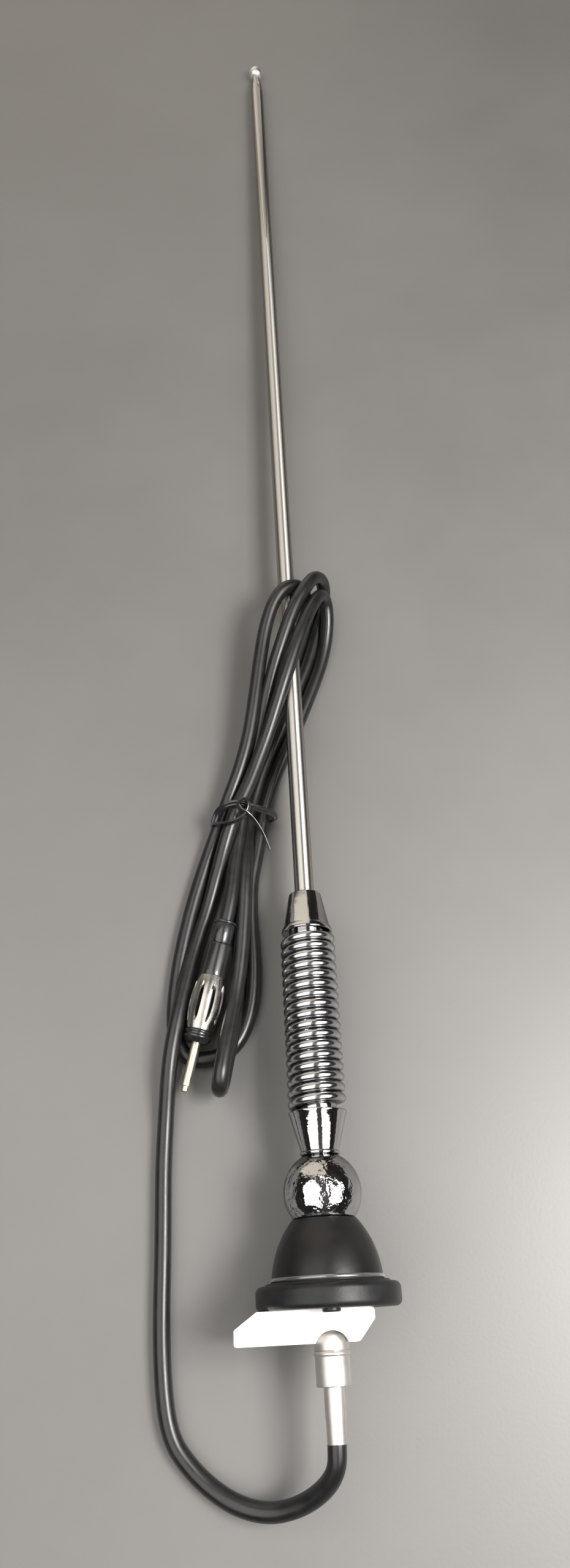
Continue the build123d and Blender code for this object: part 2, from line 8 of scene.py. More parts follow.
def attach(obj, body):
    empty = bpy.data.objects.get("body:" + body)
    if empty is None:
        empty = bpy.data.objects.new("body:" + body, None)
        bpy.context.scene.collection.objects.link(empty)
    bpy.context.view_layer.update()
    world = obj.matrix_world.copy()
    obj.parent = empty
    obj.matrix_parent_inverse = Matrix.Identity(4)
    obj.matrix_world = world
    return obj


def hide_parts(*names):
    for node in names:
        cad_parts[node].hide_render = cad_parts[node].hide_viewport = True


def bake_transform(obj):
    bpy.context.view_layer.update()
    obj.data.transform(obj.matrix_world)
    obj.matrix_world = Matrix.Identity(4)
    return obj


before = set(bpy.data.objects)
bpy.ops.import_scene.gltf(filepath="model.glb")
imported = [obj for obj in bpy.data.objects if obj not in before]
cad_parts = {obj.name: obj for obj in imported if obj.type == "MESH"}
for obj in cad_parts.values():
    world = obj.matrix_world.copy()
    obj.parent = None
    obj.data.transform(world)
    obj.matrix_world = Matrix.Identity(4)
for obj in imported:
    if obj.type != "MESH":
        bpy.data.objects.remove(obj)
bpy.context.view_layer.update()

# The table and the view: a pale grey matt table top, looked down on from above the antenna's foot,
# so the mast runs away up the picture. The antenna rests on the gasket's rim and the tip button.
mm = 0.001
dip = math.radians(1.634)
floor_z = -19.768
table_size = 4.0
table_tone = (0.148, 0.142, 0.136, 1)
table_tone_worn = (0.178, 0.171, 0.164, 1)
camera_place = Vector((-12.06, 4.46, 311.89)) * mm
camera_right = Vector((0.9989, -0.0469, 0.0013))
camera_forward = Vector((0.0218, 0.4385, -0.8985))
focal_pixels = 1700
frame_height_pixels = 2560
sensor_size = 36


def deselect():
    """Nothing stays selected for the next operator."""
    bpy.ops.object.select_all(action="DESELECT")


def finish(name, tones, grain, rough, bump, metal=0.0, stretch=(1, 1, 1), spun=False, **sockets):
    """A finish whose tone and polish drift over a noise, with a fine bump, in Object coordinates.

    A spun finish has its polishing lines round the antenna, which draw the highlights out along it.
    """
    material = bpy.data.materials.new(name)
    material.use_nodes = True
    nodes = material.node_tree.nodes
    links = material.node_tree.links
    shader = nodes["Principled BSDF"]
    place = nodes.new("ShaderNodeTexCoord")
    mapping = nodes.new("ShaderNodeMapping")
    mapping.inputs["Scale"].default_value = stretch
    noise = nodes.new("ShaderNodeTexNoise")
    noise.inputs["Scale"].default_value = grain
    noise.inputs["Detail"].default_value = 5
    noise.inputs["Roughness"].default_value = 0.6
    tone = nodes.new("ShaderNodeValToRGB")
    tone.color_ramp.elements[0].position = 0.3
    tone.color_ramp.elements[0].color = tones[0]
    tone.color_ramp.elements[1].position = 0.7
    tone.color_ramp.elements[1].color = tones[1]
    polish = nodes.new("ShaderNodeMapRange")
    polish.inputs["From Min"].default_value = 0.3
    polish.inputs["From Max"].default_value = 0.7
    polish.inputs["To Min"].default_value = rough[0]
    polish.inputs["To Max"].default_value = rough[1]
    fine = nodes.new("ShaderNodeTexNoise")
    fine.inputs["Scale"].default_value = bump[0]
    fine.inputs["Detail"].default_value = 3
    height = nodes.new("ShaderNodeBump")
    height.inputs["Strength"].default_value = bump[1]
    height.inputs["Distance"].default_value = bump[2]
    links.new(place.outputs["Object"], mapping.inputs["Vector"])
    links.new(mapping.outputs["Vector"], noise.inputs["Vector"])
    links.new(mapping.outputs["Vector"], fine.inputs["Vector"])
    links.new(noise.outputs["Fac"], tone.inputs["Fac"])
    links.new(noise.outputs["Fac"], polish.inputs["Value"])
    links.new(tone.outputs["Color"], shader.inputs["Base Color"])
    links.new(polish.outputs["Result"], shader.inputs["Roughness"])
    links.new(fine.outputs["Fac"], height.inputs["Height"])
    links.new(height.outputs["Normal"], shader.inputs["Normal"])
    if spun:
        lines = nodes.new("ShaderNodeTangent")
        lines.direction_type = "RADIAL"
        lines.axis = "Y"
        links.new(lines.outputs["Tangent"], shader.inputs["Tangent"])
    shader.inputs["Metallic"].default_value = metal
    for socket, value in sockets.items():
        shader.inputs[socket.replace("_", " ")].default_value = value
    return material


def wear(obj, material):
    """The object takes this one finish all over."""
    obj.data.materials.clear()
    obj.data.materials.append(material)


deselect()
bpy.ops.mesh.primitive_grid_add(x_subdivisions=4, y_subdivisions=4, size=table_size)
table = bpy.context.object
table.name = "table_top"
table.location = (0, 0, floor_z * mm)
wear(table, finish(
    "table_satin", (table_tone, table_tone_worn), 6, (0.40, 0.48), (900, 0.06, 0.0004),
    Specular_IOR_Level=0.75,
))

camera = bpy.data.objects.new("photo_camera", bpy.data.cameras.new("photo_camera"))
bpy.context.scene.collection.objects.link(camera)
camera_up = camera_right.cross(camera_forward)
turn = Matrix((camera_right, camera_up, -camera_forward)).transposed()
camera.matrix_world = Matrix.Translation(camera_place) @ turn.to_4x4()
camera.data.sensor_width = sensor_size
camera.data.lens = focal_pixels / frame_height_pixels * sensor_size
camera.data.clip_start = 0.01
bpy.context.scene.camera = camera

# The light: two long soft panels under a dim ceiling, one each side of the mast, which chrome
# shows as two white streaks with a grey gap between them. A small lamp low on the right gives the
# table its sheen, and a cream wall beyond the tip shows in the far half of the mast.
panels = (
    ("panel_left", (-1.05, -0.15, 1.2), (1.86, 2.1), 2.0),
    ("panel_right", (1.17, -0.27, 1.2), (1.62, 1.86), 2.6),
    ("panel_near", (0.34, 0.0, 0.52), (0.24, 0.28), 26.0),
)
panel_tint = (1.0, 0.985, 0.965)
for name, place, size, radiance in panels:
    lamp = bpy.data.lights.new(name, "AREA")
    lamp.shape = "RECTANGLE"
    lamp.size = size[0]
    lamp.size_y = size[1]
    lamp.energy = radiance * math.pi * size[0] * size[1]
    lamp.color = panel_tint
    holder = bpy.data.objects.new(name, lamp)
    bpy.context.scene.collection.objects.link(holder)
    holder.location = place

room_floor_tone = (0.035, 0.032, 0.031, 1)
room_wall_tone = (0.022, 0.019, 0.018, 1)
room_ceiling_tone = (0.06, 0.057, 0.055, 1)
room_top_tone = (0.13, 0.125, 0.12, 1)
cream_tone = (0.95, 0.86, 0.72, 1)
room = bpy.data.worlds.new("room")
bpy.context.scene.world = room
room.use_nodes = True
room_nodes = room.node_tree.nodes
room_links = room.node_tree.links
room_place = room_nodes.new("ShaderNodeTexCoord")
room_split = room_nodes.new("ShaderNodeSeparateXYZ")
room_ramp = room_nodes.new("ShaderNodeValToRGB")
room_ramp.color_ramp.elements[0].position = 0.0
room_ramp.color_ramp.elements[0].color = room_floor_tone
room_ramp.color_ramp.elements[1].position = 0.95
room_ramp.color_ramp.elements[1].color = room_top_tone
room_ramp.color_ramp.elements.new(0.35).color = room_wall_tone
room_ramp.color_ramp.elements.new(0.7).color = room_ceiling_tone
room_links.new(room_place.outputs["Generated"], room_split.inputs["Vector"])
room_links.new(room_split.outputs["Z"], room_ramp.inputs["Fac"])


def wall_reach(axis, none_at, all_at):
    """How much of the cream wall a direction sees, by one of its coordinates."""
    reach = room_nodes.new("ShaderNodeMapRange")
    reach.interpolation_type = "SMOOTHSTEP"
    reach.inputs["From Min"].default_value = none_at
    reach.inputs["From Max"].default_value = all_at
    room_links.new(room_split.outputs[axis], reach.inputs["Value"])
    return reach.outputs["Result"]


# The Mix node's two colours are its inputs 6 and 7, and its colour result is output 2.
wall_share = room_nodes.new("ShaderNodeMath")
wall_share.operation = "MULTIPLY"
wall_mix = room_nodes.new("ShaderNodeMix")
wall_mix.data_type = "RGBA"
wall_mix.inputs[7].default_value = cream_tone
room_links.new(wall_reach("Y", 0.62, 0.78), wall_share.inputs[0])
room_links.new(wall_reach("X", 0.24, 0.08), wall_share.inputs[1])
room_links.new(wall_share.outputs["Value"], wall_mix.inputs[0])
room_links.new(room_ramp.outputs["Color"], wall_mix.inputs[6])
room_links.new(wall_mix.outputs[2], room_nodes["Background"].inputs["Color"])
bpy.context.scene.view_settings.view_transform = "Standard"

# The cable: a satin black coaxial cable, 5 mm thick and about 1.26 m long. It leaves the crimp
# below the foot, comes round the left side, is folded in three loops over the mast and two below
# the tie, and ends in the plug. The loops lie as they fell, so their points are set one by one.
cable_diameter = 5.0
cable_lead = (
    (0, -25.8, 20.5),
    (0, -31.3, 20.6),
    (-0.4, -36.6, 19.2),
    (-4.0, -41.4, 15.0),
    (-10.3, -45.2, 10.2),
    (-18.1, -46.9, 6.2),
    (-26.7, -45.1, 3.8),
    (-34.8, -40.1, 2.7),
    (-40.7, -34.1, 2.5),
    (-43.6, -29.6, 2.5),
    (-45.4, -22.8, 2.5),
    (-46.4, -11.2, 2.5),
    (-46.6, 0.7, 2.5),
    (-46.3, 13.1, 2.5),
    (-46.2, 26.0, 2.5),
    (-46.2, 39.3, 2.5),
    (-45.5, 53.1, 2.8),
    (-44.1, 69.0, 7.4),
    (-41.8, 82.0, 7.4),
    (-39.1, 95.0, 5.2),
    (-35.8, 108.0, 2.9),
    (-31.4, 121.0, 2.4),
    (-28.8, 130.0, 4.4),
    (-25.8, 139.0, 8.4),
    (-23.3, 146.5, 10.2),
    (-20.8, 153.0, 10.8),
)
right_loop = (
    (-17.0, 160.5, 10.9),
    (-13.4, 169.5, 11.6),
    (-9.2, 180.0, 13.4),
    (-5.4, 190.5, 16.6),
    (-1.6, 201.0, 19.8),
    (2.6, 213.0, 21.2),
    (7.0, 225.0, 20.2),
    (10.4, 232.4, 18.4),
    (12.8, 236.4, 15.2),
    (14.5, 235.8, 11.2),
    (14.9, 231.2, 7.8),
    (14.4, 226.0, 5.2),
    (13.2, 220.0, 3.2),
    (11.2, 213.0, 2.5),
    (8.4, 205.5, 2.5),
    (4.8, 196.5, 2.5),
    (0.6, 186.5, 2.5),
    (-4.2, 176.0, 2.5),
    (-8.8, 165.0, 2.5),
    (-11.6, 156.0, 2.5),
    (-13.2, 147.0, 2.5),
)
outer_strand = (
    (-15.2, 138.0, 2.5),
    (-17.4, 128.0, 2.5),
    (-17.8, 115.0, 2.5),
    (-17.2, 101.0, 2.5),
    (-17.8, 90.0, 2.5),
    (-20.2, 80.5, 2.5),
    (-24.2, 74.0, 2.5),
    (-29.4, 71.2, 2.5),
    (-34.6, 70.6, 2.5),
    (-38.8, 71.6, 2.5),
    (-42.0, 75.2, 2.5),
    (-43.2, 82.2, 2.5),
    (-42.7, 91.5, 2.5),
    (-40.8, 105.0, 2.5),
    (-36.5, 123.0, 2.5),
    (-31.6, 138.0, 2.8),
    (-28.4, 146.0, 4.2),
    (-25.8, 153.0, 6.0),
)
left_loop = (
    (-22.6, 160.5, 8.0),
    (-18.9, 170.0, 9.8),
    (-15.8, 181.0, 11.5),
    (-13.7, 192.5, 13.2),
    (-11.9, 204.0, 14.6),
    (-10.2, 214.0, 15.8),
    (-8.2, 223.0, 17.6),
    (-5.0, 231.5, 19.6),
    (-0.6, 237.0, 20.2),
    (4.0, 239.6, 17.2),
    (6.8, 240.0, 12.0),
    (7.6, 236.0, 7.0),
    (6.4, 229.5, 3.2),
    (4.2, 222.0, 2.5),
    (1.2, 213.0, 2.5),
    (-3.0, 203.0, 2.5),
    (-7.4, 193.0, 2.5),
    (-12.2, 181.5, 2.5),
    (-16.6, 170.0, 2.5),
    (-20.0, 159.5, 2.5),
    (-22.6, 150.0, 2.5),
)
lower_fold = (
    (-23.2, 140.0, 2.5),
    (-22.6, 128.0, 2.5),
    (-22.2, 115.0, 2.5),
    (-21.9, 101.0, 2.5),
    (-22.9, 89.0, 2.8),
    (-24.2, 80.0, 5.6),
    (-25.4, 74.0, 7.4),
    (-26.8, 68.6, 5.8),
    (-28.0, 63.2, 4.7),
    (-28.7, 60.5, 7.5),
    (-28.7, 60.5, 11.3),
    (-28.1, 63.4, 14.0),
    (-27.0, 70.0, 13.2),
    (-25.4, 78.5, 11.0),
    (-23.4, 88.0, 7.8),
    (-21.2, 101.0, 6.9),
    (-19.9, 115.0, 6.9),
    (-19.0, 128.0, 6.9),
    (-18.2, 138.0, 5.6),
    (-17.8, 147.0, 3.2),
)
middle_loop = (
    (-15.8, 158.0, 2.5),
    (-12.2, 169.0, 2.5),
    (-7.4, 180.5, 2.5),
    (-2.4, 192.0, 2.5),
    (1.8, 202.5, 2.5),
    (5.8, 212.0, 2.5),
    (8.8, 221.0, 2.5),
    (11.4, 230.0, 2.8),
    (13.2, 236.4, 4.6),
    (14.4, 241.4, 8.6),
    (13.6, 244.2, 13.6),
    (10.4, 242.2, 18.8),
    (6.2, 235.0, 21.6),
    (1.6, 226.0, 21.6),
    (-2.6, 215.0, 19.0),
    (-6.4, 204.5, 15.6),
    (-9.8, 192.5, 11.8),
    (-12.4, 181.5, 8.8),
    (-15.4, 170.5, 6.9),
    (-18.0, 161.0, 6.4),
    (-19.6, 152.5, 6.2),
)
plug_tail = (
    (-20.8, 144.0, 6.2),
    (-22.2, 135.0, 7.0),
    (-23.2, 126.0, 8.0),
    (-24.5, 117.6, 8.5),
    (-27.7, 105.5, 8.2),
)
cable_route = cable_lead + right_loop + outer_strand + left_loop + lower_fold + middle_loop + plug_tail
cable_black = ((0.007, 0.007, 0.0075, 1), (0.013, 0.0125, 0.0125, 1))
curve_smooth_angle = math.radians(40)


def nurbs(name, points, order=3):
    """A smooth open curve with these points, in mm above the table, as its control points."""
    curve = bpy.data.curves.new(name, "CURVE")
    curve.dimensions = "3D"
    spline = curve.splines.new("NURBS")
    spline.points.add(len(points) - 1)
    for point, (x, y, h) in zip(spline.points, points):
        point.co = (x * mm, y * mm, (floor_z + h) * mm, 1)
    spline.order_u = order
    spline.use_endpoint_u = True
    spline.resolution_u = 8
    obj = bpy.data.objects.new(name, curve)
    bpy.context.scene.collection.objects.link(obj)
    return obj


def pick(obj):
    """Only this object is selected, and it is the active one."""
    deselect()
    obj.select_set(True)
    bpy.context.view_layer.objects.active = obj


def as_mesh(obj):
    """The curve becomes a plain mesh, shaded smooth except at its sharp edges."""
    pick(obj)
    bpy.ops.object.convert(target="MESH")
    bpy.ops.object.shade_smooth_by_angle(angle=curve_smooth_angle)


cable_line = nurbs("cable_line", cable_route)
line_mesh = bpy.data.meshes.new_from_object(cable_line)
bpy.data.objects.remove(cable_line)
cable = nurbs("cable", cable_route)
cable.data.bevel_depth = cable_diameter / 2 * mm
cable.data.bevel_resolution = 4
cable.data.use_fill_caps = True
as_mesh(cable)
wear(cable, finish(
    "cable_satin_black", cable_black, 260, (0.3, 0.4), (2600, 0.12, 0.00004),
    Specular_IOR_Level=0.6, Coat_Weight=0.12, Coat_Roughness=0.2,
))

# The rubber gasket: a soft black moulded pad with rounded edges, a raised lip round the dome's
# foot and one locating lug on its underside.
gasket_radius = 19.65
gasket_thickness = 6.0
gasket_edge = 1.6
gasket_hole = 4.84
recess_radius = 15.64
lip_width = 1.6
lip_height = 0.6
dome_foot_z = 4.6
lug_radius = 2.4
lug_drop = 0.9
lug_y = -15.15
lug_edge = 0.4
rubber_black = ((0.008, 0.008, 0.0085, 1), (0.015, 0.0145, 0.015, 1))
smooth_angle = math.radians(32)
laid_down = Matrix.Rotation(-math.pi / 2 - dip, 4, "X")


def arc(centre, radius, start, end, steps):
    """Points of an arc in an outline, by its centre, radius and two angles in degrees."""
    angles = [math.radians(start + (end - start) * i / steps) for i in range(steps + 1)]
    return [(centre[0] + radius * math.cos(a), centre[1] + radius * math.sin(a)) for a in angles]


def turned(name, outline, sides=96, closed=True):
    """A ring drawn out along an outline of (radius, height) points in mm, as on a lathe, about local Z."""
    deselect()
    radius, height = outline[0]
    bpy.ops.mesh.primitive_circle_add(vertices=sides, radius=radius * mm)
    piece = bpy.context.object
    piece.name = name
    piece.data.name = name
    bpy.ops.object.mode_set(mode="EDIT")
    bpy.ops.mesh.select_all(action="SELECT")
    bpy.ops.transform.translate(value=(0, 0, height * mm))
    points = list(outline[1:]) + ([outline[0]] if closed else [])
    for r, h in points:
        bpy.ops.mesh.extrude_region_move(TRANSFORM_OT_translate={"value": (0, 0, (h - height) * mm)})
        bpy.ops.transform.resize(value=(r / radius, r / radius, 1), center_override=(0, 0, h * mm))
        radius, height = r, h
    bpy.ops.mesh.select_all(action="SELECT")
    bpy.ops.mesh.remove_doubles(threshold=1e-7)
    if not closed:
        bpy.ops.mesh.fill_holes(sides=0)
        bpy.ops.mesh.select_all(action="SELECT")
    bpy.ops.mesh.normals_make_consistent(inside=False)
    bpy.ops.object.mode_set(mode="OBJECT")
    bpy.ops.object.shade_smooth_by_angle(angle=smooth_angle)
    return piece


def lay(piece, place=None):
    """The upright piece is laid down with the antenna, or by another placement, and that is applied."""
    pick(piece)
    piece.matrix_world = place or laid_down
    bpy.ops.object.transform_apply(location=True, rotation=True, scale=True)
    return piece


def joined(main, *others):
    """Several meshes become one piece."""
    deselect()
    for obj in others:
        obj.select_set(True)
    main.select_set(True)
    bpy.context.view_layer.objects.active = main
    bpy.ops.object.join()
    return main


def fit(piece, body, slot, *nodes):
    """The piece rides on its body and stands for its CAD nodes, which are hidden; the slot is not used."""
    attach(piece, body)
    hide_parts(*nodes)


gasket_outline = [(gasket_hole, 0)]
gasket_outline += arc((gasket_radius - gasket_edge, gasket_edge), gasket_edge, -90, 0, 8)
gasket_outline += arc((gasket_radius - gasket_edge, gasket_thickness - gasket_edge), gasket_edge, 0, 90, 8)
gasket_outline += [(recess_radius + lip_width, gasket_thickness)]
gasket_outline += arc((recess_radius + lip_width / 2, gasket_thickness), lip_height, 20, 160, 8)
gasket_outline += [(recess_radius, dome_foot_z), (gasket_hole, dome_foot_z)]
gasket = turned("rubber_gasket", gasket_outline, 128)
lug_outline = [(lug_radius, gasket_edge)]
lug_outline += arc((lug_radius - lug_edge, lug_edge - lug_drop), lug_edge, 0, -90, 4)
lug = turned("lug", lug_outline, 40, closed=False)
lug.location = (0, lug_y * mm, 0)
gasket = lay(joined(gasket, lug))
wear(gasket, finish(
    "gasket_rubber_black", rubber_black, 150, (0.36, 0.5), (1500, 0.25, 0.00012),
    Specular_IOR_Level=0.4,
))
fit(gasket, "base", "gasket_rubber", "gasket")

# The dome: a satin black moulded bell, open at its top for the ball. A thin polished line runs
# round it just above the gasket's lip.
dome_foot_radius = 15.2
dome_top_radius = 9.3
dome_top_z = 22.2
dome_mid = (13.6, 14.575)
bead_height = 1.0
dome_rim_drop = 0.3
dome_rim_inset = 0.25
dome_bore = 13.0
ball_z = 29.2
mouth_radius = 11.25
cup_radius = 7.84
web_top_z = 14.0
web_foot_z = 11.6
web_radius = 9.2
stem_hole = 5.84
dome_black = ((0.007, 0.0065, 0.0065, 1), (0.013, 0.0115, 0.0115, 1))


def three_point_arc(a, b, c, steps):
    """Points of the arc through three points."""
    d = 2 * (a[0] * (b[1] - c[1]) + b[0] * (c[1] - a[1]) + c[0] * (a[1] - b[1]))
    aa, bb, cc = (p[0] ** 2 + p[1] ** 2 for p in (a, b, c))
    x = (aa * (b[1] - c[1]) + bb * (c[1] - a[1]) + cc * (a[1] - b[1])) / d
    y = (aa * (c[0] - b[0]) + bb * (a[0] - c[0]) + cc * (b[0] - a[0])) / d
    start = math.degrees(math.atan2(a[1] - y, a[0] - x))
    end = math.degrees(math.atan2(c[1] - y, c[0] - x))
    return arc((x, y), math.dist((x, y), a), start, end, steps)


bead_radius = bead_height / 2
bead_top_z = dome_foot_z + bead_height
dome_rim = (dome_top_radius, dome_top_z - dome_rim_drop)
mouth_edge_radius = math.sqrt(mouth_radius**2 - (ball_z - dome_top_z) ** 2)
cup_top_z = ball_z - math.sqrt(mouth_radius**2 - cup_radius**2)
dome_outline = [(dome_bore, dome_foot_z)]
dome_outline += arc((dome_foot_radius, dome_foot_z + bead_radius), bead_radius, -60, 85, 8)
dome_outline += three_point_arc((dome_foot_radius, bead_top_z), dome_mid, dome_rim, 24)
dome_outline += [(dome_top_radius - dome_rim_inset, dome_top_z), (mouth_edge_radius, dome_top_z)]
dome_outline += [(cup_radius, cup_top_z), (cup_radius, web_top_z)]
dome_outline += [(stem_hole, web_top_z), (stem_hole, web_foot_z), (web_radius, web_foot_z)]
dome_outline += [(dome_bore, bead_top_z)]
dome = lay(turned("dome_cover", dome_outline, 128))
wear(dome, finish(
    "dome_satin_black", dome_black, 90, (0.34, 0.46), (1100, 0.2, 0.0001),
    Specular_IOR_Level=0.35, Coat_Weight=0.05, Coat_Roughness=0.2,
))
fit(dome, "base", "dome_plastic", "dome")
line_height = 7.3
line_radius = 14.95
line_section = 0.65
line_outline = arc((line_radius, line_height), line_section, -180, 150, 11)
dome_line = lay(turned("dome_foot_line", line_outline, 128))
wear(dome_line, finish(
    "dome_line_gloss", ((0.22, 0.22, 0.22, 1), (0.34, 0.34, 0.34, 1)), 90, (0.2, 0.3),
    (900, 0.05, 0.00005), metal=0.7, Coat_Weight=1.0, Coat_Roughness=0.12,
))
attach(dome_line, "base")

# The split ball: two chrome half balls on one pivot screw. The upper half carries the mast's neck
# and the lower half the stem that goes down into the dome. Die-cast and plated, so faintly uneven.
ball_radius = 11.0
split_gap = 0.1
neck_radius = 4.0
neck_top = 18.0
shaft_root = 8.0
stem_radius = 7.8
chrome_tones = ((0.56, 0.56, 0.57, 1), (0.64, 0.64, 0.65, 1))
chrome_edge = (0.45, 0.44, 0.42, 1)
ball_chrome = finish(
    "ball_mirror_chrome", chrome_tones, 60, (0.02, 0.05), (300, 0.6, 0.0009),
    metal=1.0, Specular_Tint=chrome_edge,
)


def half_ball(name, side, shaft):
    """A half ball on one side of the split, with its round shaft from (radius, foot, top) sizes."""
    deselect()
    bpy.ops.mesh.primitive_uv_sphere_add(segments=128, ring_count=64, radius=ball_radius * mm)
    half = bpy.context.object
    half.name = name
    bpy.ops.object.mode_set(mode="EDIT")
    bpy.ops.mesh.select_all(action="SELECT")
    bpy.ops.mesh.bisect(
        plane_co=(0, side * split_gap * mm, 0), plane_no=(0, side, 0), use_fill=True, clear_inner=True,
    )
    bpy.ops.object.mode_set(mode="OBJECT")
    bpy.ops.object.shade_smooth_by_angle(angle=smooth_angle)
    radius, foot, top = shaft
    post = turned("post", [(radius, foot), (radius, top)], 64, closed=False)
    half = joined(half, post)
    return lay(half, laid_down @ Matrix.Translation((0, 0, ball_z * mm)))


mast_half = half_ball("ball_mast_half_chrome", -1, (neck_radius, shaft_root, neck_top))
base_half = half_ball("ball_base_half_chrome", 1, (stem_radius, web_top_z - ball_z, -shaft_root))
for half, body, node in ((mast_half, "mast", "ball_mast_half"), (base_half, "base", "ball_base_half")):
    wear(half, ball_chrome)
    fit(half, body, "ball_chrome", node)

# Inside pieces, out of sight or nearly so: the zinc pivot screw and washer, the brass stud, its
# nylon bush, the copper core and the mast's bronze contact sleeves. They keep their own shape.
inside_finishes = {
    "screw_steel": finish(
        "screw_zinc", ((0.5, 0.5, 0.5, 1), (0.62, 0.62, 0.63, 1)), 400, (0.25, 0.4),
        (3000, 0.1, 0.00003), metal=1.0,
    ),
    "stud_brass": finish(
        "stud_turned_brass", ((0.62, 0.46, 0.2, 1), (0.74, 0.58, 0.3, 1)), 300, (0.2, 0.35),
        (2500, 0.1, 0.00003), metal=1.0,
    ),
    "bush_nylon": finish(
        "bush_natural_nylon", ((0.72, 0.70, 0.64, 1), (0.8, 0.78, 0.73, 1)), 200, (0.4, 0.5),
        (1500, 0.1, 0.00005),
    ),
    "core_copper": finish(
        "core_bare_copper", ((0.65, 0.33, 0.18, 1), (0.76, 0.44, 0.27, 1)), 500, (0.2, 0.35),
        (2500, 0.1, 0.00003), metal=1.0,
    ),
    "contact_bronze": finish(
        "sleeve_spring_bronze", ((0.6, 0.4, 0.18, 1), (0.7, 0.5, 0.26, 1)), 500, (0.2, 0.35),
        (2500, 0.1, 0.00003), metal=1.0,
    ),
}
inside_nodes = {
    "pivot_screw": "screw_steel",
    "pivot_washer": "screw_steel",
    "base_stud": "stud_brass",
    "insulator_bush": "bush_nylon",
    "core_wire": "core_copper",
    "middle_sleeve": "contact_bronze",
    "tip_sleeve": "contact_bronze",
}
for node, slot in inside_nodes.items():
    wear(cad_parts[node], inside_finishes[slot])

# The clamp foot: a white nylon moulding with one long arm, which grips the underside of the panel.
wear(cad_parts["clamp_foot"], finish(
    "foot_white_nylon", ((0.80, 0.80, 0.79, 1), (0.86, 0.86, 0.85, 1)), 120, (0.38, 0.5),
    (900, 0.12, 0.0001), Specular_IOR_Level=0.5,
))

# The stem: a round-shouldered nut, a beaded sleeve and a crimp tube, turned and satin nickel plated.
nut_top_z = -5.0
nut_foot_z = -9.8
nut_radius = 4.6
nut_shoulder = 1.4
stud_clear = 3.04
sleeve_foot_z = -18.0
sleeve_radius = 4.55
sleeve_bore = 3.65
sleeve_bead_radius = 4.85
sleeve_bead_height = 1.3
sleeve_hole = 2.74
bead_relief = 0.15
crimp_top_z = -16.2
crimp_foot_z = -30.8
crimp_radius = 2.7
crimp_waist_radius = 2.55
crimp_waist_z = -25.8
crimp_step = 1.2
crimp_edge = 0.15
cable_hole = 2.34
edge = 0.25
satin_nickel = finish(
    "stem_satin_nickel", ((0.66, 0.635, 0.60, 1), (0.76, 0.735, 0.70, 1)), 180, (0.42, 0.5),
    (1800, 0.1, 0.00004), metal=1.0,
)
nut_outline = [(stud_clear, nut_foot_z)] + arc((nut_radius - edge, nut_foot_z + edge), edge, -90, 0, 3)
nut_outline += arc((nut_radius - nut_shoulder, nut_top_z - nut_shoulder), nut_shoulder, 0, 90, 8)
nut_outline += [(stud_clear, nut_top_z)]
sleeve_bead = sleeve_bead_height / 2
sleeve_outline = [(sleeve_hole, sleeve_foot_z)]
sleeve_outline += arc((sleeve_radius - edge, sleeve_foot_z + edge), edge, -90, 0, 3)
sleeve_outline += [(sleeve_radius, nut_foot_z - sleeve_bead_height - bead_relief)]
sleeve_outline += arc((sleeve_bead_radius - sleeve_bead, nut_foot_z - sleeve_bead), sleeve_bead, -62, 62, 8)
sleeve_outline += [(sleeve_radius, nut_foot_z), (sleeve_bore, nut_foot_z), (sleeve_bore, crimp_top_z)]
sleeve_outline += [(sleeve_hole, crimp_top_z)]
crimp_outline = [(cable_hole, crimp_foot_z)]
crimp_outline += arc((crimp_waist_radius - crimp_edge, crimp_foot_z + crimp_edge), crimp_edge, -90, 0, 3)
crimp_outline += [(crimp_waist_radius, crimp_waist_z), (crimp_radius, crimp_waist_z + crimp_step)]
crimp_outline += [(crimp_radius, crimp_top_z), (cable_hole, crimp_top_z)]
stem_pieces = (
    ("stem_nut_nickel", nut_outline, "stem_nut"),
    ("cable_sleeve_nickel", sleeve_outline, "cable_sleeve"),
    ("crimp_tube_nickel", crimp_outline, "crimp_ferrule"),
)
for name, outline, node in stem_pieces:
    piece = lay(turned(name, outline, 80))
    wear(piece, satin_nickel)
    fit(piece, "base", "stem_nickel", node)

# The lower ferrule: a polished chrome cone with a small bead at its foot and a rolled rim where the
# spring sits on it.
ferrule_foot_z = 39.1
spring_seat_z = 51.1
ferrule_foot_radius = 5.4
ferrule_rim_radius = 8.5
ferrule_bead = 0.35
ferrule_bead_section = 0.5
ferrule_bead_height = 1.05
rim_height = 0.9
rim_overhang = 0.3
rim_section = 0.4
neck_hole = 4.04
spigot_radius = 5.63
spigot_length = 7.0
ferrule_chrome = finish(
    "ferrule_polished_chrome", chrome_tones, 90, (0.03, 0.07), (240, 0.3, 0.0004),
    metal=1.0, Specular_Tint=chrome_edge,
)
bead_centre = (
    ferrule_foot_radius + ferrule_bead - ferrule_bead_section,
    ferrule_foot_z + ferrule_bead_section,
)
lower_outline = [(neck_hole, ferrule_foot_z)]
lower_outline += arc(bead_centre, ferrule_bead_section, -90, 80, 8)
lower_outline += [(ferrule_foot_radius, ferrule_foot_z + ferrule_bead_height)]
lower_outline += [(ferrule_rim_radius - rim_overhang, spring_seat_z - rim_height)]
lower_outline += arc(
    (ferrule_rim_radius - rim_section, spring_seat_z - rim_section), rim_section, -20, 90, 6,
)
lower_outline += [(spigot_radius, spring_seat_z), (spigot_radius, spring_seat_z + spigot_length)]
lower_outline += [(neck_hole, spring_seat_z + spigot_length)]
lower_ferrule = lay(turned("lower_ferrule_chrome", lower_outline, 128))
wear(lower_ferrule, ferrule_chrome)
fit(lower_ferrule, "mast", "ferrule_chrome", "lower_ferrule")

